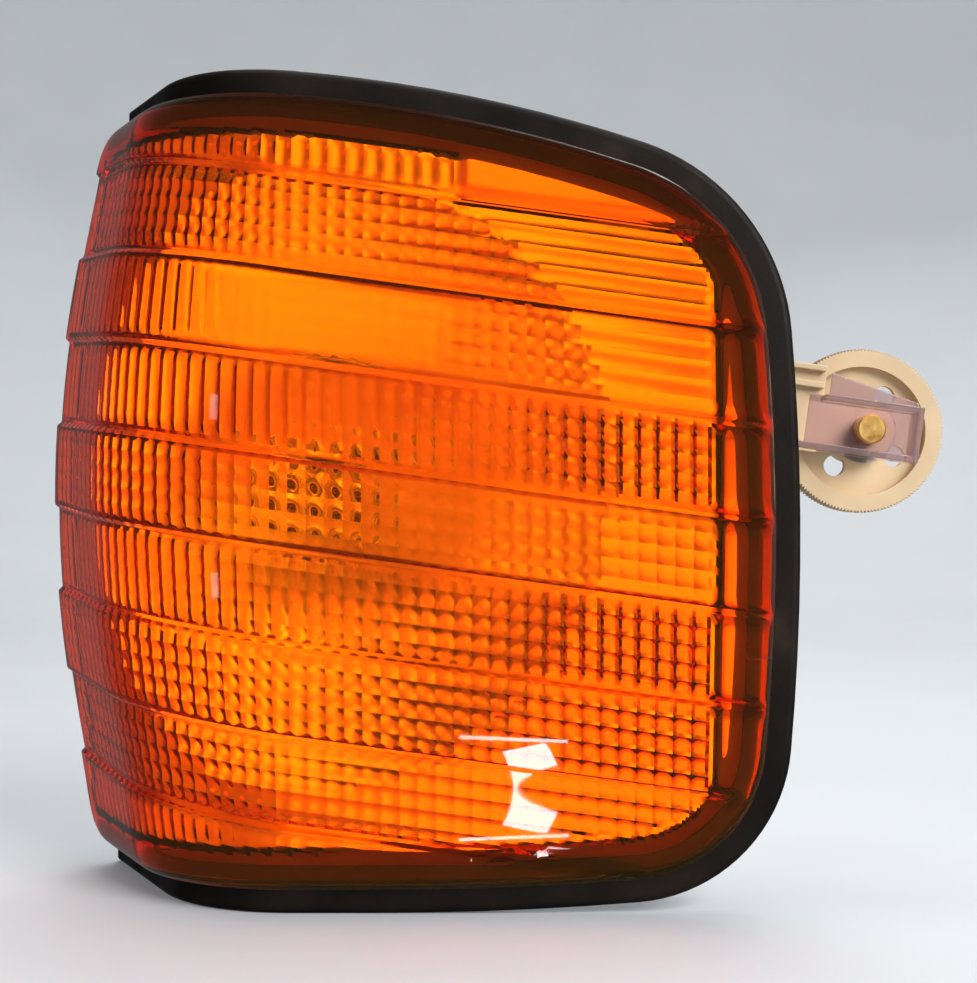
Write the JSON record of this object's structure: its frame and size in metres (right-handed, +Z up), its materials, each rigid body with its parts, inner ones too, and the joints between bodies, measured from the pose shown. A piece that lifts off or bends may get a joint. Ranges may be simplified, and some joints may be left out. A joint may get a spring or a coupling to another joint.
{
  "type": "turn signal lamp",
  "caption": "Wrap-around amber corner turn signal lamp with ribbed lens, rubber gasket, bayonet bulb and a knurled hand-wheel clamp.",
  "frame": {"origin": "where the bulb's axis meets the plane of the gasket's rear face", "axes": "+X towards the grille, -X round the corner of the wing, +Y into the car along the bulb's axis, +Z up; the lens faces -Y"},
  "size_m": [0.2477, 0.122, 0.2136],
  "materials": {
    "amber_lens": "glossy amber acrylic, ribbed outside, prismatic inside",
    "rubber": "matt black rubber",
    "grey_plastic": "light grey moulded plastic",
    "reflector": "bright vacuum-metallised plastic",
    "cream_plastic": "cream moulded plastic, satin",
    "smoked_plastic": "clear plastic with a smoky violet tint",
    "yellow_zinc": "yellow-passivated zinc plating",
    "steel": "bright zinc-plated steel",
    "brass": "plain brass",
    "holder_plastic": "pale grey moulded plastic",
    "insulator": "brown phenolic insulation",
    "nickel": "nickel plating",
    "clear_glass": "clear lamp glass",
    "tungsten": "drawn tungsten wire",
    "solder": "soft solder"
  },
  "bodies": {
    "lamp": {"lens": "amber_lens", "lens_seal": "rubber", "body_gasket": "rubber", "housing": "grey_plastic", "reflector": "reflector", "mounting_arm": "cream_plastic", "lug_tray": "smoked_plastic", "clamp_stud": "yellow_zinc", "arm_screws": "steel", "peg_grommets": "rubber", "vent_cap": "rubber"},
    "washer": {"thrust_washer": "steel"},
    "wheel": {"thumbwheel": "cream_plastic", "wheel_insert": "brass"},
    "holder": {"bulb_holder": "holder_plastic", "holder_seal": "rubber", "bulb_socket": "steel", "ground_terminal": "brass", "live_terminal": "brass", "contact_insulator": "insulator", "contact_spring": "steel"},
    "plunger": {"contact_plunger": "brass"},
    "bulb": {"bulb_cap": "nickel", "bayonet_pins": "nickel", "bulb_glass": "clear_glass", "bulb_stem": "clear_glass", "filament": "tungsten", "filament_supports": "nickel", "bulb_insulator": "insulator", "bulb_tip": "solder"}
  },
  "joints": [
    {"name": "washer_slide", "type": "slide", "parent": "lamp", "child": "washer", "axis": [0, 1, 0], "range_m": [0, 0.0075]},
    {"name": "wheel_turn", "type": "hinge", "parent": "washer", "child": "wheel", "pos_m": [0.152, 0.053, 0.0144], "axis": [0, 1, 0], "range_deg": [0, 2160]},
    {"name": "holder_turn", "type": "hinge", "parent": "lamp", "child": "holder", "pos_m": [0, 0.068, 0], "axis": [0, 1, 0], "range_deg": [-35, 0]},
    {"name": "bulb_push", "type": "slide", "parent": "holder", "child": "bulb", "axis": [0, 1, 0], "range_m": [0, 0.002]},
    {"name": "plunger_slide", "type": "slide", "parent": "holder", "child": "plunger", "axis": [0, 1, 0], "range_m": [0, 0.002], "deforming": ["contact_spring"]}
  ],
  "couplings": [
    {"joint": "washer_slide", "follows": "wheel_turn", "m_per_rad": 0.00019894},
    {"joint": "plunger_slide", "follows": "bulb_push", "ratio": 1}
  ]
}
